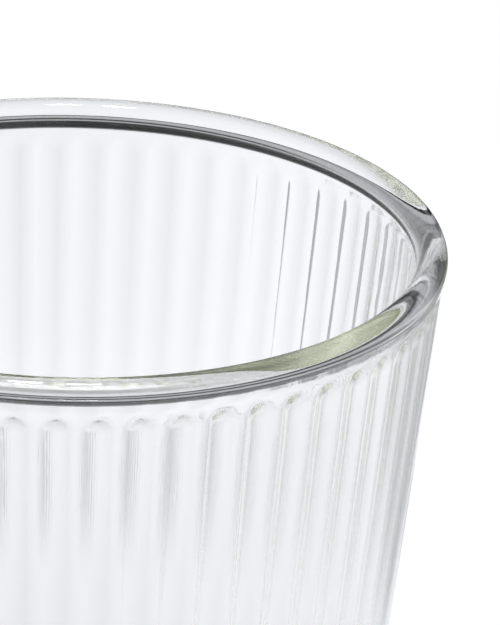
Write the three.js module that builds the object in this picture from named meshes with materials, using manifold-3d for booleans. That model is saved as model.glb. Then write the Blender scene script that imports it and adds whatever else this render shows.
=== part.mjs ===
// Double-walled drinking glass: a ribbed outer jacket and a plain inner vessel, flame-joined at the top
// by a rounded rim bead, with the vent hole in the jacket's base closed by a soft plug.
// Millimetres, +Z up, origin at the centre of the plane that the foot rests on.
import * as THREE from "three";
import { mergeVertices } from "three/addons/utils/BufferGeometryUtils.js";
import Module from "manifold-3d";

// Overall
const HEIGHT = 100; // foot to the top of the rim
const RIM_DIAMETER = 84; // across the outside of the rim bead
const TAPER_DEGREES = 6.1; // lean of the jacket's wall from upright

// Rim bead, with the lopsided top end of the air gap in its underside
const BEAD_HEIGHT = 4; // seam to the top of the rim
const BEAD_WIDTH = 3.44; // at its thickest, inside to outside
const BEAD_PROUD = 0.42; // how far the bead stands out past the jacket's wall at the seam
const GAP_TOP_HEIGHT = 2; // seam to the top of the air gap
const GAP_TOP_OUTER = 0.5; // round of that top on the jacket's side
const GAP_TOP_INNER = 1.6; // height of its longer curve on the vessel's side

// Outer jacket
const JACKET_WALL = 0.85; // between the ribs
const JACKET_BASE = 3.4; // thickness of the base
const JACKET_FOOT_ROUND = 7; // outside corner of wall and foot
const JACKET_FLOOR_ROUND = 4; // inside corner of wall and base
const FOOT_RING_WIDTH = 4; // flat ring that the glass stands on
const PUNT_HEIGHT = 2; // hollow under the base, inside the foot ring
const PUNT_FLAT_DIAMETER = 18; // flat middle of that hollow

// Upright ribs, raised from the jacket's wall into the air gap
const RIB_COUNT = 56;
const RIB_HEIGHT = 0.45;
const RIB_SHARE = 0.75; // ribbed share of each pitch
const RIB_TURN = -0.3; // first rib's place past the front, in pitches
const RIB_END_LENGTH = 2.1; // rounded end of a rib
const PLAIN_BAND = 0.35; // smooth band between the seam and the ribs
const RIB_FOOT_BAND = 5; // smooth band between the ribs and the floor's corner

// Inner vessel
const VESSEL_WALL = 1; // below the shoulder
const VESSEL_SEAM_WALL = 0.7; // at the seam
const VESSEL_BOTTOM = 2; // thickness of its bottom
const VESSEL_ROUND = 14; // outside corner of its wall and bottom
const SEAM_GAP = 1.75; // air gap where both walls meet the bead
const AIR_GAP = 3; // air gap between the walls, below the shoulder
const AIR_GAP_DEPTH = 30; // from the seam to where the air gap is full
const BOTTOM_GAP = 5; // air gap between vessel and jacket base

// Vent plug
const VENT_DIAMETER = 5;
const PLUG_CLEARANCE = 0.3; // round the stem
const PLUG_HEAD_DIAMETER = 9;
const PLUG_HEAD_THICKNESS = 1.1;
const PLUG_BARB_DIAMETER = 6.6; // inside the cavity, holds the plug in
const PLUG_BARB_HEIGHT = 1.6;
const PLUG_EDGE = 0.3; // rounded edge of the plug's head

// Facets
const TURN_STEPS = 64; // round the axis
const ARC_STEPS = 4; // in a rounded corner
const FLOOR_STEPS = 2; // in the corner of the cavity's floor
const PLUG_TURN_STEPS = 32; // round the vent and its plug
const BEAD_STEPS = 8; // over the top of the bead
const BEAD_SIDE_STEPS = 2; // down a side of the bead
const SHOULDER_STEPS = 5; // down the shoulder of the vessel
const RIB_STEPS = 4; // across one rib
const RIB_END_STEPS = 2; // along one rounded end

// Worked out from the above
const SEAM_Z = HEIGHT - BEAD_HEIGHT;
const BEAD_OUTER_RADIUS = RIM_DIAMETER / 2;
const JACKET_SEAM_RADIUS = BEAD_OUTER_RADIUS - BEAD_PROUD;
const VESSEL_SEAM_RADIUS = JACKET_SEAM_RADIUS - JACKET_WALL - SEAM_GAP;
const BEAD_INNER_RADIUS = BEAD_OUTER_RADIUS - BEAD_WIDTH;
const VENT_RADIUS = VENT_DIAMETER / 2;
const VESSEL_BOTTOM_Z = JACKET_BASE + BOTTOM_GAP;
const TAPER = Math.tan(THREE.MathUtils.degToRad(TAPER_DEGREES));

const wasm = await Module();
wasm.setup();

const point = (radius, z) => new THREE.Vector2(radius, z);
const share = (step, steps) => step / steps;

// Outside radius of the jacket's wall at height z.
function jacketRadius(z) {
  return JACKET_SEAM_RADIUS - (SEAM_Z - z) * TAPER;
}

// Radius of the cavity side of the jacket's wall at height z, between the ribs.
function cavityRadius(z) {
  return jacketRadius(z) - JACKET_WALL;
}

// How far down the shoulder of the vessel height z is: 0 at the seam, 1 where the air gap is full.
function downShoulder(z) {
  return THREE.MathUtils.smoothstep(SEAM_Z - z, 0, AIR_GAP_DEPTH);
}

// Outside radius of the vessel's wall at height z: the air gap opens smoothly below the seam.
function vesselRadius(z) {
  return cavityRadius(z) - THREE.MathUtils.lerp(SEAM_GAP, AIR_GAP, downShoulder(z));
}

// Thickness of the vessel's wall at height z.
function vesselWall(z) {
  return THREE.MathUtils.lerp(VESSEL_SEAM_WALL, VESSEL_WALL, downShoulder(z));
}

// The corner between two straight stretches, rounded by an arc that touches both.
function roundedCorner(before, corner, after, radius, steps = ARC_STEPS) {
  const back = before.clone().sub(corner).normalize();
  const ahead = after.clone().sub(corner).normalize();
  const half = Math.acos(THREE.MathUtils.clamp(back.dot(ahead), -1, 1)) / 2;
  const centre = back.clone().add(ahead).normalize().multiplyScalar(radius / Math.sin(half)).add(corner);
  const first = back.multiplyScalar(radius / Math.tan(half)).add(corner).sub(centre);
  const last = ahead.multiplyScalar(radius / Math.tan(half)).add(corner).sub(centre);
  const turn = Math.atan2(first.cross(last), first.dot(last));
  return Array.from({ length: steps + 1 }, (_, i) =>
    first.clone().rotateAround(new THREE.Vector2(), turn * share(i, steps)).add(centre),
  );
}

// A body turned about the Z axis from a profile of radius and height that runs up its outside.
function turned(profile, steps = TURN_STEPS) {
  return new THREE.LatheGeometry(profile, steps).rotateX(Math.PI / 2);
}

// A geometry as a solid that can be cut, and a cut solid as a geometry again.
function solid(geometry) {
  const bare = geometry.clone();
  bare.deleteAttribute("normal");
  bare.deleteAttribute("uv");
  const merged = mergeVertices(bare);
  const vertProperties = merged.attributes.position.array;
  return new wasm.Manifold(
    new wasm.Mesh({ numProp: 3, vertProperties, triVerts: new Uint32Array(merged.index.array) }),
  );
}

function geometryOf(cut) {
  const mesh = cut.getMesh();
  return new THREE.BufferGeometry()
    .setAttribute("position", new THREE.BufferAttribute(mesh.vertProperties, 3))
    .setIndex(new THREE.BufferAttribute(mesh.triVerts, 1));
}

// Rise of a rib at a place across it (-1 to 1) and towards its rounded end (0 full, 1 at the tip).
function ribRise(across, towardsTip) {
  return RIB_HEIGHT * Math.max(0, 1 - across ** 2 - towardsTip ** 2);
}

// Rings of the cavity from its floor to past the seam: radius, height and nearness to the ribs' tips.
function cavityRings() {
  const floorCorner = point(cavityRadius(JACKET_BASE), JACKET_BASE);
  const wallTop = point(cavityRadius(SEAM_Z), SEAM_Z);
  const middle = point(0, JACKET_BASE);
  const corner = roundedCorner(middle, floorCorner, wallTop, JACKET_FLOOR_ROUND, FLOOR_STEPS);
  const rings = corner.map((p) => ({ radius: p.x, z: p.y, tip: 1 }));
  const lowTip = corner.at(-1).y + RIB_FOOT_BAND;
  const highTip = SEAM_Z - PLAIN_BAND;
  const ring = (z, tip) => ({ radius: cavityRadius(z), z, tip });
  for (let i = 0; i <= RIB_END_STEPS; i++) {
    const along = share(i, RIB_END_STEPS);
    rings.push(ring(lowTip + along * RIB_END_LENGTH, 1 - along));
  }
  for (let i = RIB_END_STEPS; i >= 0; i--) {
    const along = share(i, RIB_END_STEPS);
    rings.push(ring(highTip - along * RIB_END_LENGTH, 1 - along));
  }
  rings.push(ring(SEAM_Z + BEAD_HEIGHT, 1));
  return rings;
}

// The air space inside the jacket as a closed body, with the ribs as grooves in its side.
function cavityGeometry() {
  const across = [];
  for (let rib = 0; rib < RIB_COUNT; rib++) {
    for (let i = 0; i <= RIB_STEPS; i++) {
      const place = 2 * share(i, RIB_STEPS) - 1;
      const pitches = rib + RIB_TURN + (place * RIB_SHARE) / 2;
      across.push({ angle: (pitches * 2 * Math.PI) / RIB_COUNT, place });
    }
  }
  const rings = cavityRings();
  const count = across.length;
  const positions = [];
  for (const { radius, z, tip } of rings) {
    for (const { angle, place } of across) {
      const r = radius - ribRise(place, tip);
      positions.push(r * Math.sin(angle), -r * Math.cos(angle), z);
    }
  }
  const floorCentre = positions.length / 3;
  positions.push(0, 0, rings[0].z, 0, 0, rings.at(-1).z);
  const index = [];
  for (let i = 0; i < count; i++) {
    const next = (i + 1) % count;
    index.push(floorCentre, next, i);
    for (let level = 0; level < rings.length - 1; level++) {
      const low = level * count;
      const high = low + count;
      index.push(low + i, low + next, high + next, low + i, high + next, high + i);
    }
    const top = (rings.length - 1) * count;
    index.push(floorCentre + 1, top + i, top + next);
  }
  return new THREE.BufferGeometry()
    .setAttribute("position", new THREE.Float32BufferAttribute(positions, 3))
    .setIndex(index);
}

// Outer jacket: a blank turned from its outside profile, less the cavity and the vent hole.
function outerJacket() {
  const footEdge = point(jacketRadius(0), 0);
  const wallTop = point(JACKET_SEAM_RADIUS, SEAM_Z);
  const footCorner = roundedCorner(point(0, 0), footEdge, wallTop, JACKET_FOOT_ROUND);
  const ringInside = footCorner[0].x - FOOT_RING_WIDTH;
  const blank = turned([
    point(0, PUNT_HEIGHT),
    point(PUNT_FLAT_DIAMETER / 2, PUNT_HEIGHT),
    point(ringInside, 0),
    ...footCorner,
    wallTop,
    point(0, SEAM_Z),
  ]);
  const ventProfile = [
    point(0, 0),
    point(VENT_RADIUS, 0),
    point(VENT_RADIUS, VESSEL_BOTTOM_Z),
    point(0, VESSEL_BOTTOM_Z),
  ];
  const vent = turned(ventProfile, PLUG_TURN_STEPS);
  return geometryOf(solid(blank).subtract(solid(cavityGeometry())).subtract(solid(vent)));
}

// Inner vessel: a thin plain cup whose wall draws in below the seam to open the air gap.
function innerVessel() {
  const side = (walls, bottom, round) => {
    const sideRadius = (z) => vesselRadius(z) - walls * vesselWall(z);
    const lowCorner = point(sideRadius(bottom), bottom);
    const shoulder = [];
    for (let i = SHOULDER_STEPS; i >= 0; i--) {
      const z = SEAM_Z - AIR_GAP_DEPTH * share(i, SHOULDER_STEPS);
      shoulder.push(point(sideRadius(z), z));
    }
    const middle = point(0, bottom);
    return [middle, ...roundedCorner(middle, lowCorner, shoulder[0], round), ...shoulder];
  };
  const outside = side(0, VESSEL_BOTTOM_Z, VESSEL_ROUND);
  const inside = side(1, VESSEL_BOTTOM_Z + VESSEL_BOTTOM, VESSEL_ROUND - VESSEL_WALL);
  return turned([...outside, ...inside.reverse()]);
}

// Rim bead: the ring that joins both walls, round on top and easing into the walls at the seam.
function rimBead() {
  const roundRadius = BEAD_WIDTH / 2;
  const roundZ = HEIGHT - roundRadius;
  const gapTopZ = SEAM_Z + GAP_TOP_HEIGHT;
  const gapOuterZ = gapTopZ - GAP_TOP_OUTER;
  const gapInnerZ = gapTopZ - GAP_TOP_INNER;
  const gapTopRadius = cavityRadius(gapOuterZ) - GAP_TOP_OUTER;
  const gapInnerReach = gapTopRadius - vesselRadius(gapInnerZ);
  const arch = (centre, reach, rise, from, to, steps) =>
    Array.from({ length: steps + 1 }, (_, i) => {
      const angle = THREE.MathUtils.lerp(from, to, share(i, steps));
      return point(reach * Math.cos(angle), rise * Math.sin(angle)).add(centre);
    });
  const innerCentre = point(gapTopRadius, gapInnerZ);
  const outerCentre = point(gapTopRadius, gapOuterZ);
  const topCentre = point(BEAD_INNER_RADIUS + roundRadius, roundZ);
  const upright = Math.PI / 2;
  const gapInner = arch(innerCentre, gapInnerReach, GAP_TOP_INNER, Math.PI, upright, ARC_STEPS);
  const gapOuter = arch(outerCentre, GAP_TOP_OUTER, GAP_TOP_OUTER, upright, 0, ARC_STEPS);
  const ease = (seamRadius, roundSide, step) => {
    const up = share(step, BEAD_SIDE_STEPS);
    const radius = THREE.MathUtils.lerp(seamRadius, roundSide, THREE.MathUtils.smoothstep(up, 0, 1));
    return point(radius, THREE.MathUtils.lerp(SEAM_Z, roundZ, up));
  };
  const steps = Array.from({ length: BEAD_SIDE_STEPS }, (_, i) => i);
  const vesselInside = VESSEL_SEAM_RADIUS - VESSEL_SEAM_WALL;
  return turned([
    point(VESSEL_SEAM_RADIUS, SEAM_Z),
    ...gapInner,
    ...gapOuter.slice(1),
    point(VESSEL_SEAM_RADIUS + SEAM_GAP, SEAM_Z),
    ...steps.map((step) => ease(JACKET_SEAM_RADIUS, BEAD_OUTER_RADIUS, step)),
    ...arch(topCentre, roundRadius, roundRadius, 0, Math.PI, BEAD_STEPS),
    ...steps.reverse().map((step) => ease(vesselInside, BEAD_INNER_RADIUS, step)),
    point(VESSEL_SEAM_RADIUS, SEAM_Z),
  ]);
}

// Vent plug: a soft stem with a head under the base and a barb above it.
function ventPlug() {
  const stemRadius = VENT_RADIUS - PLUG_CLEARANCE;
  const headRadius = PLUG_HEAD_DIAMETER / 2;
  const headLow = PUNT_HEIGHT - PLUG_HEAD_THICKNESS;
  const barbLow = JACKET_BASE + PLUG_CLEARANCE;
  const profile = [
    point(0, headLow),
    point(headRadius - PLUG_EDGE, headLow),
    point(headRadius, headLow + PLUG_EDGE),
    point(headRadius, PUNT_HEIGHT),
    point(stemRadius, PUNT_HEIGHT),
    point(stemRadius, barbLow),
    point(PLUG_BARB_DIAMETER / 2, barbLow),
    point(stemRadius, barbLow + PLUG_BARB_HEIGHT),
    point(0, barbLow + PLUG_BARB_HEIGHT),
  ];
  return turned(profile, PLUG_TURN_STEPS);
}

const glass = new THREE.MeshStandardMaterial({
  color: 0xf2f6f3,
  roughness: 0.02,
  metalness: 0,
  transparent: true,
  opacity: 0.25,
});
const silicone = new THREE.MeshStandardMaterial({ color: 0xe4e6e4, roughness: 0.55, metalness: 0 });

function piece(name, geometry, material) {
  const mesh = new THREE.Mesh(geometry, material);
  mesh.name = name;
  return mesh;
}

const doubleWalledGlass = new THREE.Group();
doubleWalledGlass.add(
  piece("outer_jacket", outerJacket(), glass),
  piece("inner_vessel", innerVessel(), glass),
  piece("rim_bead", rimBead(), glass),
  piece("vent_plug", ventPlug(), silicone),
);

export default doubleWalledGlass;
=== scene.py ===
import math

import bpy
import numpy as np
from mathutils import Matrix, Vector


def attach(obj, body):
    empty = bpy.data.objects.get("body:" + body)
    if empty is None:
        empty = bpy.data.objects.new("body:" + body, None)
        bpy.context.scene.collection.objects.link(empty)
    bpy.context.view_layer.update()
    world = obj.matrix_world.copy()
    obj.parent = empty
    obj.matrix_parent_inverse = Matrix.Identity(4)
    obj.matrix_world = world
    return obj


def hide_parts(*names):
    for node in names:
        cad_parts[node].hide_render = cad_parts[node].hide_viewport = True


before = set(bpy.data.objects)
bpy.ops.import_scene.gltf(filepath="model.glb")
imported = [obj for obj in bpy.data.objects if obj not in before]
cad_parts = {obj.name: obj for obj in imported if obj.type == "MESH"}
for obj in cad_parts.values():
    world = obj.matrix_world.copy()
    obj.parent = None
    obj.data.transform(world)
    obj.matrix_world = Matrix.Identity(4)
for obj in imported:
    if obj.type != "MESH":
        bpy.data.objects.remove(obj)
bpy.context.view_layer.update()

MM_PER_METRE = 1000

# Lengths in millimetres, the same values as the solids are built from
HEIGHT = 100.0
RIM_RADIUS = 42.0
TAPER = math.tan(math.radians(6.1))
BEAD_HEIGHT = 4.0
BEAD_WIDTH = 3.44
BEAD_PROUD = 0.42
GAP_TOP_HEIGHT = 2.0
GAP_TOP_OUTER = 0.5
GAP_TOP_INNER = 1.6
JACKET_WALL = 0.85
JACKET_BASE = 3.4
FOOT_ROUND = 7.0
FLOOR_ROUND = 4.0
FOOT_RING_WIDTH = 4.0
PUNT_HEIGHT = 2.0
PUNT_FLAT_RADIUS = 9.0
RIB_COUNT = 56
RIB_HEIGHT = 0.45
RIB_SHARE = 0.75  # ribbed share of each pitch
RIB_TURN = -0.3  # first rib's place past the front, in pitches
RIB_END = 2.1
PLAIN_BAND = 0.35
RIB_FOOT_BAND = 5.0
VESSEL_WALL = 1.0
VESSEL_SEAM_WALL = 0.7
VESSEL_BOTTOM = 2.0
VESSEL_ROUND = 14.0
SEAM_GAP = 1.75
AIR_GAP = 3.0
AIR_GAP_DEPTH = 30.0
BOTTOM_GAP = 5.0
VENT_RADIUS = 2.5
PLUG_CLEARANCE = 0.3
PLUG_HEAD_RADIUS = 4.5
PLUG_HEAD_THICKNESS = 1.1
PLUG_BARB_RADIUS = 3.3
PLUG_BARB_HEIGHT = 1.6
PLUG_EDGE = 0.3

SEAM = HEIGHT - BEAD_HEIGHT
SEAM_RADIUS = RIM_RADIUS - BEAD_PROUD
RIM_MIDDLE = HEIGHT - BEAD_WIDTH / 2
RIB_TOP = SEAM - PLAIN_BAND
VESSEL_LOW = JACKET_BASE + BOTTOM_GAP
DRINK_LOW = VESSEL_LOW + VESSEL_BOTTOM

# Finer form and facets of the meshes, lengths in millimetres
VENT_EDGE = 0.25  # worn edge of the vent hole
BOTTOM_RINGS = 4, 10  # radii on the flat of the vessel's bottom
BASE_RING = 12  # radius on the flat of the jacket's base
WALL_RINGS = 75, 50, 25  # heights on the jacket's outside
RIB_GUARD = 1  # from a rib's rounded end to the ring that keeps its length straight
GAP_SIDE_RING = 0.8  # above the seam, on the jacket's side of the gap
RIB_COLUMNS = -1, -0.8, -0.55, -0.28, 0, 0.28, 0.55, 0.8, 1  # across one rib
LAND_COLUMN = 0.5  # between two ribs, in pitches
SHOULDER_STEPS = 12
BOTTOM_STEPS = 10
BEAD_SIDE_STEPS = 9
BEAD_STEPS = 28
FOOT_STEPS = 8
PUNT_STEPS = 6
FLOOR_STEPS = 6
RIB_LOW_STEPS = 6
RIB_TOP_STEPS = 14
GAP_OUTER_STEPS = 8
GAP_INNER_STEPS = 14
PLUG_TURN_STEPS = 64
PLUG_ROUND_STEPS = 6
PLUG_BARB_STEPS = 5
PLUG_HOLLOW_STEPS = 4

# Clear glass: upright streaks of drawn glass, wiped haze and a weak cast in its depth
GLASS_IOR = 1.5
STREAK_SCALE = 700, 700, 18  # per metre, round and along
STREAK_DETAIL = 3
STREAK_DEPTH = 0.000012  # metres
WIPE_SCALE = 40
WIPE_DETAIL = 4
WIPE_RANGE = 0.55, 0.9
WIPE_HAZE = 0.012
CAST_COLOUR = 0.92, 0.95, 0.78, 1
CAST_DENSITY = 5
SHADOW_TINT = 0.90, 0.90, 0.89, 1

# Soft silicone: cloudy, matt and finely grained
SILICONE_DARK = 0.66, 0.67, 0.67, 1
SILICONE_LIGHT = 0.80, 0.81, 0.81, 1
SILICONE_ROUGHNESS = 0.38, 0.58
SILICONE_SCATTER = 0.15
SILICONE_REACH = 0.002, 0.002, 0.002
CLOUD_SCALE = 500
CLOUD_DETAIL = 5
GRAIN_SCALE = 3500
GRAIN_DETAIL = 2
GRAIN_STRENGTH = 0.4
GRAIN_DEPTH = 0.00004

# The table in metres, and its paleness to the glass and to the camera
TABLE_HALF_WIDTH = 3.0
TABLE_EDGE = 0.340
TABLE_MATT = 0.5
TABLE_PALE = 0.9
# What makes it white to the camera, by the distance from the glass, with the shadow at the foot left in
CAMERA_GLOW = [(0.0, 0.52), (0.09, 0.52), (0.13, 0.67), (0.60, 0.74), (1.50, 0.84), (3.0, 0.92)]
# Painted light on the table as the glass shows it, at places front to back and left to right:
# a painted pool of light, most behind the glass and to the right, none past the far edge
TABLE_TINT = 0.945, 0.958, 1.0, 1
FRONT_TO_BACK = [(-0.50, 0.40), (-0.25, 0.70), (-0.06, 0.82), (0.0, 0.82), (0.29, 0.82), (0.31, 0.0)]
ACROSS_BACK = [
    (-0.50, 0.75), (-0.20, 0.68), (-0.10, 0.80), (-0.03, 0.92),
    (0.03, 1.02), (0.06, 1.06), (0.30, 1.3), (0.60, 1.3),
]
ACROSS_FRONT = [
    (-0.50, 0.60), (-0.20, 0.65), (0.0, 0.95), (0.06, 1.0),
    (0.12, 1.0), (0.25, 0.6), (0.50, 0.6),
]
FRONT_ENDS, BACK_STARTS = -0.02, 0.08
# Painted shadow round the foot: share of that light by the distance from the middle of the glass
PAINTED_FOOT_SHADOW = [
    (0.0, 0.75), (0.030, 0.75), (0.036, 0.25), (0.054, 0.25), (0.066, 0.66),
    (0.10, 0.80), (0.14, 0.93), (0.19, 1.0), (0.40, 1.0),
]
# A painted round shadow behind the glass: middle, radius of its core and of its edge, level
ROUND_SHADOW = (0.048, 0.14, 0.0), 0.008, 0.034, 0.45
# A painted long shadow to the right: start, direction, half width of its core and of its edge, level
LONG_SHADOW = (0.13, 0.10, 0.0), (0.12, 0.993, 0.0), 0.045, 0.062, 0.20
LONG_SHADOW_START = -0.05, 0.0

# Soft lights of the studio: azimuth from straight behind the glass, elevation,
# edge and core of the glow in degrees, level
GLOWS = [
    (80, -2, 64, 36, 0.45),
    (-125, -5, 50, 10, 0.40),
    (0, 42, 22, 8, 0.45),
    (15, 18, 14, 6, 0.50),
    (135, 22, 45, 20, 0.50),
]
GLOW_COLOUR = 0.94, 0.96, 1.0, 1
DARK_ROOM = 0.015
# Square lamps: name, place and side in metres, brightness
LAMPS = [
    ("overhead", (-0.065, 0.0, 0.66), 0.045, 150),
    ("overhead_far", (0.018, 0.0, 0.66), 0.05, 36),
]
LIGHT_BOUNCES = 512

# Where the photograph shows the rim, in its own frame of 500 by 625 pixels
PHOTO_SIZE = 500, 625
RIM_PIXEL = 72.8, 246.8
PIXELS_PER_METRE = 8939.0
CAMERA_DISTANCE = 0.840
CAMERA_ELEVATION = math.radians(22.90)
CAMERA_ROLL = math.radians(1.19)
CAMERA_SENSOR = 36
CAMERA_REACH = 100


def smooth(t):
    t = min(1.0, max(0.0, t))
    return t * t * (3 - 2 * t)


def shares(steps):
    """Even steps from 0 to 1."""
    return [i / steps for i in range(steps + 1)]


def jacket_radius(z):
    return SEAM_RADIUS - (SEAM - z) * TAPER


def cavity_radius(z):
    return jacket_radius(z) - JACKET_WALL


def down_shoulder(z):
    return smooth((SEAM - z) / AIR_GAP_DEPTH)


def vessel_radius(z):
    return cavity_radius(z) - SEAM_GAP - (AIR_GAP - SEAM_GAP) * down_shoulder(z)


def drink_radius(z):
    wall = VESSEL_SEAM_WALL + (VESSEL_WALL - VESSEL_SEAM_WALL) * down_shoulder(z)
    return vessel_radius(z) - wall


def arch(radius, z, reach, rise, angles):
    """Points of an upright oval arc about a middle."""
    return [(radius + reach * math.cos(a), z + rise * math.sin(a)) for a in angles]


def corner(before, tip, after, radius, steps):
    """Points of the arc that rounds the corner at tip."""
    a, c, b = (np.array(p, float) for p in (before, tip, after))
    u = (a - c) / np.linalg.norm(a - c)
    w = (b - c) / np.linalg.norm(b - c)
    half = math.acos(float(u @ w)) / 2
    middle = c + (u + w) / np.linalg.norm(u + w) * radius / math.sin(half)
    p = c + u * radius / math.tan(half) - middle
    q = c + w * radius / math.tan(half) - middle
    turn = math.atan2(p[0] * q[1] - p[1] * q[0], float(p @ q))
    points = []
    for t in shares(steps):
        cos, sin = math.cos(turn * t), math.sin(turn * t)
        x = p[0] * cos - p[1] * sin
        y = p[0] * sin + p[1] * cos
        points.append((middle[0] + x, middle[1] + y))
    return points


def glass_profile():
    """Radius, height and nearness to the ribs' tips (1 where there are none), from the drink's floor
    over the rim, round the foot and back up the air gap."""
    half = BEAD_WIDTH / 2
    middle = RIM_RADIUS - half
    heights = [SEAM - AIR_GAP_DEPTH * (1 - t) for t in shares(SHOULDER_STEPS)]
    low = heights[0]
    points = []

    def add(some, tip=1.0):
        points.extend((r, z, tip) for r, z in some)

    # The drink's side
    drink_corner = (drink_radius(DRINK_LOW), DRINK_LOW)
    drink_round = VESSEL_ROUND - VESSEL_WALL
    add([(r, DRINK_LOW) for r in (0, *BOTTOM_RINGS)])
    add(corner((0, DRINK_LOW), drink_corner, (drink_radius(low), low), drink_round, BOTTOM_STEPS))
    add([(drink_radius(z), z) for z in heights])

    # The bead, from the inside over the top to the outside
    start = drink_radius(SEAM)
    side = shares(BEAD_SIDE_STEPS)[1:-1]
    rise = RIM_MIDDLE - SEAM
    add([(start + (middle - half - start) * smooth(t), SEAM + rise * t) for t in side])
    add(arch(middle, RIM_MIDDLE, half, half, [math.pi * (1 - t) for t in shares(BEAD_STEPS)]))
    add([(RIM_RADIUS - BEAD_PROUD * smooth(t), RIM_MIDDLE - rise * t) for t in side])

    # The outside, the foot, the hollow under it and the vent
    add([(jacket_radius(z), z) for z in (SEAM, *WALL_RINGS)])
    foot = corner((0, 0), (jacket_radius(0), 0), (SEAM_RADIUS, SEAM), FOOT_ROUND, FOOT_STEPS)
    add(reversed(foot))
    ring = foot[0][0] - FOOT_RING_WIDTH
    add([(ring + (PUNT_FLAT_RADIUS - ring) * t, PUNT_HEIGHT * smooth(t)) for t in shares(PUNT_STEPS)])
    add([(VENT_RADIUS + VENT_EDGE, PUNT_HEIGHT), (VENT_RADIUS, PUNT_HEIGHT + VENT_EDGE)])
    add([(VENT_RADIUS, JACKET_BASE - VENT_EDGE), (VENT_RADIUS + VENT_EDGE, JACKET_BASE)])

    # The air gap's floor and its ribbed side
    add([(BASE_RING, JACKET_BASE)])
    floor_corner = (cavity_radius(JACKET_BASE), JACKET_BASE)
    wall_top = (cavity_radius(SEAM), SEAM)
    floor = corner((0, JACKET_BASE), floor_corner, wall_top, FLOOR_ROUND, FLOOR_STEPS)
    add(floor)
    rib_low = floor[-1][1] + RIB_FOOT_BAND
    for t in shares(RIB_LOW_STEPS):
        z = rib_low + RIB_END * t
        add([(cavity_radius(z), z)], 1 - t)
    for z in (rib_low + RIB_END + RIB_GUARD, RIB_TOP - RIB_END - RIB_GUARD):
        add([(cavity_radius(z), z)], 0.0)
    for t in shares(RIB_TOP_STEPS):
        z = RIB_TOP - RIB_END * (1 - t)
        add([(cavity_radius(z), z)], t)

    # The air gap's top, tight on the jacket's side and drawn out on the vessel's
    top_z = SEAM + GAP_TOP_HEIGHT
    outer_z = top_z - GAP_TOP_OUTER
    inner_z = top_z - GAP_TOP_INNER
    top_r = cavity_radius(outer_z) - GAP_TOP_OUTER
    reach = top_r - vessel_radius(inner_z)
    quarter = math.pi / 2
    outer_turn = [quarter * t for t in shares(GAP_OUTER_STEPS)]
    inner_turn = [quarter * (1 + t) for t in shares(GAP_INNER_STEPS)[1:]]
    add([(cavity_radius(z), z) for z in (SEAM, SEAM + GAP_SIDE_RING)])
    add(arch(top_r, outer_z, GAP_TOP_OUTER, GAP_TOP_OUTER, outer_turn))
    add(arch(top_r, inner_z, reach, GAP_TOP_INNER, inner_turn))

    # The vessel's side of the air gap
    vessel_corner = (vessel_radius(VESSEL_LOW), VESSEL_LOW)
    vessel_side = (vessel_radius(low), low)
    add([(vessel_radius(z), z) for z in reversed(heights)])
    add(reversed(corner((0, VESSEL_LOW), vessel_corner, vessel_side, VESSEL_ROUND, BOTTOM_STEPS)))
    add([(BOTTOM_RINGS[-1], VESSEL_LOW), (0, VESSEL_LOW)])
    return points


def plug_profile():
    """The soft plug from the middle of its head's underside to the top of its barb."""
    stem = VENT_RADIUS - PLUG_CLEARANCE
    head_low = PUNT_HEIGHT - PLUG_HEAD_THICKNESS
    barb_low = JACKET_BASE + PLUG_CLEARANCE
    barb_top = barb_low + PLUG_BARB_HEIGHT
    small = PLUG_EDGE / 2
    path = [
        (0, head_low),
        (PLUG_HEAD_RADIUS, head_low),
        (PLUG_HEAD_RADIUS, PUNT_HEIGHT),
        (stem, PUNT_HEIGHT),
        (stem, barb_low),
        (PLUG_BARB_RADIUS, barb_low),
        (stem, barb_top),
        (0, barb_top),
    ]
    rounds = [
        (PLUG_EDGE, PLUG_ROUND_STEPS),
        (PLUG_EDGE, PLUG_ROUND_STEPS),
        (small, PLUG_HOLLOW_STEPS),
        (small, PLUG_HOLLOW_STEPS),
        (small, PLUG_BARB_STEPS),
        (PLUG_EDGE, PLUG_ROUND_STEPS),
    ]
    points = [path[0], (PLUG_HEAD_RADIUS / 2, head_low)]
    for before, tip, after, (radius, steps) in zip(path, path[1:], path[2:], rounds):
        points += corner(before, tip, after, radius, steps)
    points.append(path[-1])
    return [(r, z, 1.0) for r, z in points]


def rib_columns():
    """Angles of the mesh columns, and how far each is from its rib's middle, 1 at the rib's edge."""
    half = RIB_SHARE / 2
    places = [s * half for s in RIB_COLUMNS] + [LAND_COLUMN]
    pitch = 2 * math.pi / RIB_COUNT
    angles = [(k + RIB_TURN + s) * pitch for k in range(RIB_COUNT) for s in places]
    across = [abs(s) / half for s in places] * RIB_COUNT
    return np.array(angles), np.array(across)


def rib_rise(across, tip):
    """How far a rib stands out of the jacket's wall into the air gap."""
    return RIB_HEIGHT * np.maximum(0, 1 - across ** 2 - tip ** 2)


def turned(name, profile, angles, across=None):
    """A closed mesh from a profile that starts and ends on the axis."""
    count = len(angles)
    verts, rings = [], []
    for r, z, tip in profile:
        height = z / MM_PER_METRE
        if r == 0:
            rings.append([len(verts)] * count)
            verts.append((0, 0, height))
            continue
        radii = np.full(count, float(r))
        if tip < 1:
            radii = radii - rib_rise(across, tip)
        x = radii * np.sin(angles) / MM_PER_METRE
        y = -radii * np.cos(angles) / MM_PER_METRE
        rings.append(list(range(len(verts), len(verts) + count)))
        verts.extend((a, b, height) for a, b in zip(x, y))
    faces = []
    for a, b in zip(rings, rings[1:]):
        for i in range(count):
            j = (i + 1) % count
            loop = [a[i], b[i], b[j], a[j]]
            faces.append([v for k, v in enumerate(loop) if v not in loop[:k]])
    mesh = bpy.data.meshes.new(name)
    mesh.from_pydata(verts, [], faces)
    mesh.polygons.foreach_set("use_smooth", [True] * len(mesh.polygons))
    mesh.update()
    piece = bpy.data.objects.new(name, mesh)
    bpy.context.scene.collection.objects.link(piece)
    return piece


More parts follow.
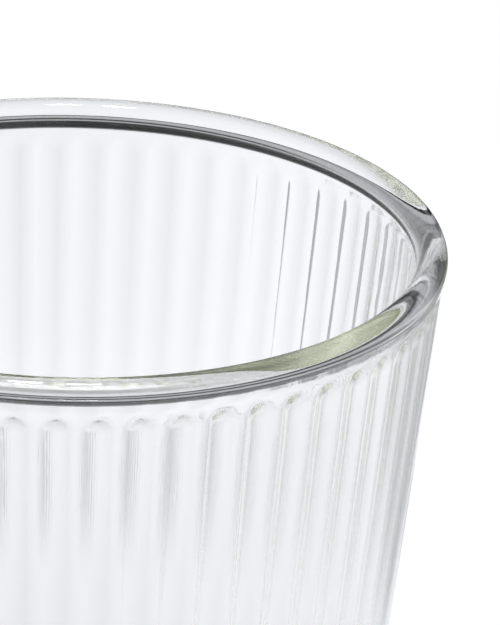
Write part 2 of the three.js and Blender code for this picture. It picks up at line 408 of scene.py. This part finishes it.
def node(tree, kind, **settings):
    """A shader node with its settings."""
    made = tree.nodes.new("ShaderNode" + kind)
    for key, value in settings.items():
        setattr(made, key, value)
    return made


def noise(tree, vector, scale, detail):
    """A noise texture over a vector."""
    made = node(tree, "TexNoise")
    made.inputs["Scale"].default_value = scale
    made.inputs["Detail"].default_value = detail
    tree.links.new(vector, made.inputs["Vector"])
    return made.outputs["Fac"]


def bumped(tree, height, strength, distance):
    """A surface normal from a height."""
    made = node(tree, "Bump")
    made.inputs["Strength"].default_value = strength
    made.inputs["Distance"].default_value = distance
    tree.links.new(height, made.inputs["Height"])
    return made.outputs["Normal"]


def spread(tree, value, low, high, at_low, at_high, kind="LINEAR"):
    """A value taken from one range to another and held at its ends."""
    made = node(tree, "MapRange", interpolation_type=kind)
    made.inputs["From Min"].default_value = low
    made.inputs["From Max"].default_value = high
    made.inputs["To Min"].default_value = at_low
    made.inputs["To Max"].default_value = at_high
    tree.links.new(value, made.inputs["Value"])
    return made.outputs["Result"]


def ramp(tree, value, low, high, at_low, at_high):
    """A smooth step of a value between two levels."""
    return spread(tree, value, low, high, at_low, at_high, "SMOOTHSTEP")


def sums(tree, operation, a, b):
    """Two values brought together by one Math node; either may be a plain number."""
    made = node(tree, "Math", operation=operation)
    for value, socket in zip((a, b), made.inputs):
        if isinstance(value, float):
            socket.default_value = value
        else:
            tree.links.new(value, socket)
    return made.outputs[0]


def vectors(tree, operation, vector, fixed):
    """A vector brought together with a fixed one."""
    made = node(tree, "VectorMath", operation=operation)
    made.inputs[1].default_value = fixed
    tree.links.new(vector, made.inputs[0])
    return made.outputs["Vector" if operation == "SUBTRACT" else "Value"]


def levels(tree, value, stops):
    """A line through levels of up to 2 at given places."""
    made = node(tree, "FloatCurve")
    low, high = stops[0][0], stops[-1][0]
    curve = made.mapping.curves[0]
    for place, level in stops[1:-1]:
        curve.points.new((place - low) / (high - low), level / 2)
    curve.points[0].location = 0, stops[0][1] / 2
    curve.points[-1].location = 1, stops[-1][1] / 2
    for point in curve.points:
        point.handle_type = "VECTOR"
    made.mapping.update()
    tree.links.new(spread(tree, value, low, high, 0, 1), made.inputs["Value"])
    return sums(tree, "MULTIPLY", made.outputs["Value"], 2.0)


def glass_material(name):
    made = bpy.data.materials.new(name)
    made.use_nodes = True
    tree = made.node_tree
    link = tree.links.new
    tree.nodes.clear()
    out = node(tree, "OutputMaterial")
    glass = node(tree, "BsdfPrincipled")
    glass.inputs["Base Color"].default_value = (1, 1, 1, 1)
    glass.inputs["Transmission Weight"].default_value = 1
    glass.inputs["IOR"].default_value = GLASS_IOR
    place = node(tree, "TexCoord").outputs["Object"]
    drawn = node(tree, "Mapping")
    drawn.inputs["Scale"].default_value = STREAK_SCALE
    link(place, drawn.inputs["Vector"])
    streaks = noise(tree, drawn.outputs["Vector"], 1, STREAK_DETAIL)
    link(bumped(tree, streaks, 1, STREAK_DEPTH), glass.inputs["Normal"])
    wiped = noise(tree, place, WIPE_SCALE, WIPE_DETAIL)
    link(spread(tree, wiped, *WIPE_RANGE, 0, WIPE_HAZE), glass.inputs["Roughness"])
    clear = node(tree, "BsdfTransparent")
    clear.inputs["Color"].default_value = SHADOW_TINT
    path = node(tree, "LightPath")
    mix = node(tree, "MixShader")
    link(path.outputs["Is Shadow Ray"], mix.inputs["Fac"])
    link(glass.outputs[0], mix.inputs[1])
    link(clear.outputs[0], mix.inputs[2])
    link(mix.outputs[0], out.inputs["Surface"])
    cast = node(tree, "VolumeAbsorption")
    cast.inputs["Color"].default_value = CAST_COLOUR
    cast.inputs["Density"].default_value = CAST_DENSITY
    link(cast.outputs[0], out.inputs["Volume"])
    return made


def silicone_material(name):
    made = bpy.data.materials.new(name)
    made.use_nodes = True
    tree = made.node_tree
    link = tree.links.new
    skin = tree.nodes["Principled BSDF"]
    skin.inputs["Subsurface Weight"].default_value = SILICONE_SCATTER
    skin.inputs["Subsurface Radius"].default_value = SILICONE_REACH
    place = node(tree, "TexCoord").outputs["Object"]
    cloud = noise(tree, place, CLOUD_SCALE, CLOUD_DETAIL)
    colour = node(tree, "ValToRGB")
    colour.color_ramp.elements[0].color = SILICONE_DARK
    colour.color_ramp.elements[1].color = SILICONE_LIGHT
    link(cloud, colour.inputs["Fac"])
    link(colour.outputs["Color"], skin.inputs["Base Color"])
    link(spread(tree, cloud, 0, 1, *SILICONE_ROUGHNESS), skin.inputs["Roughness"])
    grain = noise(tree, place, GRAIN_SCALE, GRAIN_DETAIL)
    link(bumped(tree, grain, GRAIN_STRENGTH, GRAIN_DEPTH), skin.inputs["Normal"])
    return made


def table_light(tree, place, distance):
    """The table's painted light as the glass shows it: levels by place, less the painted shadows."""
    parts = node(tree, "SeparateXYZ")
    tree.links.new(place, parts.inputs[0])
    x, y = parts.outputs["X"], parts.outputs["Y"]
    # Painted pool of light on the table, by place
    behind = ramp(tree, y, FRONT_ENDS, BACK_STARTS, 0.0, 1.0)
    in_front = ramp(tree, y, FRONT_ENDS, BACK_STARTS, 1.0, 0.0)
    back = sums(tree, "MULTIPLY", levels(tree, x, ACROSS_BACK), behind)
    front = sums(tree, "MULTIPLY", levels(tree, x, ACROSS_FRONT), in_front)
    light = sums(tree, "MULTIPLY", levels(tree, y, FRONT_TO_BACK), sums(tree, "ADD", back, front))
    # Painted shadow round the foot
    light = sums(tree, "MULTIPLY", light, levels(tree, distance, PAINTED_FOOT_SHADOW))

    # Painted round shadow behind the glass
    middle, core, edge, level = ROUND_SHADOW
    off = vectors(tree, "DISTANCE", place, middle)
    light = sums(tree, "MULTIPLY", light, ramp(tree, off, core, edge, level, 1.0))

    # Painted long shadow to the right
    start, along, core, edge, level = LONG_SHADOW
    from_start = vectors(tree, "SUBTRACT", place, start)
    run = vectors(tree, "DOT_PRODUCT", from_start, along)
    aside = vectors(tree, "DOT_PRODUCT", from_start, (along[1], -along[0], 0.0))
    width = node(tree, "Math", operation="ABSOLUTE")
    tree.links.new(aside, width.inputs[0])
    dark = ramp(tree, width.outputs[0], core, edge, 1.0 - level, 0.0)
    dark = sums(tree, "MULTIPLY", dark, ramp(tree, run, *LONG_SHADOW_START, 0.0, 1.0))
    return sums(tree, "MULTIPLY", light, sums(tree, "SUBTRACT", 1.0, dark))


def make_floor():
    """A pale table, white to the camera, with a far edge behind the glass."""
    wide = TABLE_HALF_WIDTH
    mesh = bpy.data.meshes.new("floor")
    square = [(-wide, -wide, 0), (wide, -wide, 0), (wide, TABLE_EDGE, 0), (-wide, TABLE_EDGE, 0)]
    mesh.from_pydata(square, [], [(0, 1, 2, 3)])
    floor = bpy.data.objects.new("floor", mesh)
    bpy.context.scene.collection.objects.link(floor)
    made = bpy.data.materials.new("floor")
    made.use_nodes = True
    tree = made.node_tree
    link = tree.links.new
    tree.nodes.clear()
    path = node(tree, "LightPath")
    place = node(tree, "NewGeometry").outputs["Position"]
    distance = vectors(tree, "DISTANCE", place, (0, 0, 0))
    to_camera = path.outputs["Is Camera Ray"]
    to_glass = sums(tree, "MAXIMUM", path.outputs["Is Glossy Ray"], path.outputs["Is Transmission Ray"])
    matt = node(tree, "BsdfDiffuse")
    link(ramp(tree, to_camera, 0.0, 1.0, TABLE_MATT, TABLE_PALE), matt.inputs["Color"])
    # Emission that paints the table's light and shadows for glossy and transmission rays
    shown = node(tree, "Emission")
    shown.inputs["Color"].default_value = TABLE_TINT
    light = table_light(tree, place, distance)
    link(sums(tree, "MULTIPLY", light, to_glass), shown.inputs["Strength"])
    white = node(tree, "Emission")
    link(sums(tree, "MULTIPLY", to_camera, levels(tree, distance, CAMERA_GLOW)), white.inputs["Strength"])
    glow = node(tree, "AddShader")
    link(shown.outputs[0], glow.inputs[0])
    link(white.outputs[0], glow.inputs[1])
    table = node(tree, "AddShader")
    link(matt.outputs[0], table.inputs[0])
    link(glow.outputs[0], table.inputs[1])
    link(table.outputs[0], node(tree, "OutputMaterial").inputs["Surface"])
    mesh.materials.append(made)


def direction(azimuth, elevation):
    a, e = math.radians(azimuth), math.radians(elevation)
    return Vector((math.sin(a) * math.cos(e), math.cos(a) * math.cos(e), math.sin(e)))


def make_world():
    """A dark room with a few soft lights, white to the camera."""
    world = bpy.data.worlds.new("studio")
    bpy.context.scene.world = world
    world.use_nodes = True
    tree = world.node_tree
    tree.nodes.clear()
    view = node(tree, "TexCoord").outputs["Generated"]
    total = DARK_ROOM
    for azimuth, elevation, edge, core, level in GLOWS:
        towards = vectors(tree, "DOT_PRODUCT", view, direction(azimuth, elevation))
        outside, inside = math.cos(math.radians(edge)), math.cos(math.radians(core))
        total = sums(tree, "ADD", ramp(tree, towards, outside, inside, 0, level), total)
    path = node(tree, "LightPath")
    light = node(tree, "Background")
    light.inputs["Color"].default_value = GLOW_COLOUR
    seen = sums(tree, "MAXIMUM", path.outputs["Is Camera Ray"], total)
    tree.links.new(seen, light.inputs["Strength"])
    tree.links.new(light.outputs[0], node(tree, "OutputWorld").inputs["Surface"])


def make_lamp(name, place, size, brightness):
    """A square lamp that faces the glass, with its brightness as seen from there."""
    data = bpy.data.lights.new(name, "AREA")
    data.size = size
    data.energy = brightness * math.pi * size * size
    lamp = bpy.data.objects.new(name, data)
    lamp.location = place
    aim = Vector((0, 0, HEIGHT / MM_PER_METRE)) - Vector(place)
    lamp.rotation_mode = "QUATERNION"
    lamp.rotation_quaternion = aim.to_track_quat("-Z", "Y")
    bpy.context.scene.collection.objects.link(lamp)


def make_camera():
    """The camera that shows the rim where the photograph does."""
    e, roll = CAMERA_ELEVATION, CAMERA_ROLL
    target = Vector((0, 0, RIM_MIDDLE / MM_PER_METRE))
    ahead = Vector((0, math.cos(e), -math.sin(e)))
    right = Vector((1, 0, 0))
    down = ahead.cross(right)
    right_rolled = right * math.cos(roll) - down * math.sin(roll)
    down_rolled = right * math.sin(roll) + down * math.cos(roll)
    focal = PIXELS_PER_METRE * CAMERA_DISTANCE
    off_x = RIM_PIXEL[0] - PHOTO_SIZE[0] / 2
    off_y = RIM_PIXEL[1] - PHOTO_SIZE[1] / 2
    towards = Vector((off_x, -off_y, -focal)).normalized()
    straight = Matrix((right_rolled, -down_rolled, -ahead)).transposed()
    aside = towards.rotation_difference(Vector((0, 0, -1))).to_matrix()
    data = bpy.data.cameras.new("camera")
    data.sensor_width = CAMERA_SENSOR
    data.lens = focal * CAMERA_SENSOR / PHOTO_SIZE[1]
    data.clip_end = CAMERA_REACH
    camera = bpy.data.objects.new("camera", data)
    turned_to = straight @ aside
    camera.matrix_world = Matrix.Translation(target - ahead * CAMERA_DISTANCE) @ turned_to.to_4x4()
    bpy.context.scene.collection.objects.link(camera)
    bpy.context.scene.camera = camera


# One piece for the three glass nodes: the real glass runs on through the weld at the rim
glass_body = turned("glass_body", glass_profile(), *rib_columns())
glass_body.data.materials.append(glass_material("clear_glass"))
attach(glass_body, "root")
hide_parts("outer_jacket", "inner_vessel", "rim_bead")

plug_angles = np.arange(PLUG_TURN_STEPS) * 2 * math.pi / PLUG_TURN_STEPS
vent_seal = turned("vent_seal", plug_profile(), plug_angles)
vent_seal.data.materials.append(silicone_material("soft_silicone"))
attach(vent_seal, "root")
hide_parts("vent_plug")

make_floor()
make_world()
for lamp in LAMPS:
    make_lamp(*lamp)
make_camera()

scene = bpy.context.scene
scene.view_settings.view_transform = "Standard"
scene.cycles.max_bounces = LIGHT_BOUNCES
scene.cycles.transmission_bounces = LIGHT_BOUNCES
scene.cycles.glossy_bounces = LIGHT_BOUNCES
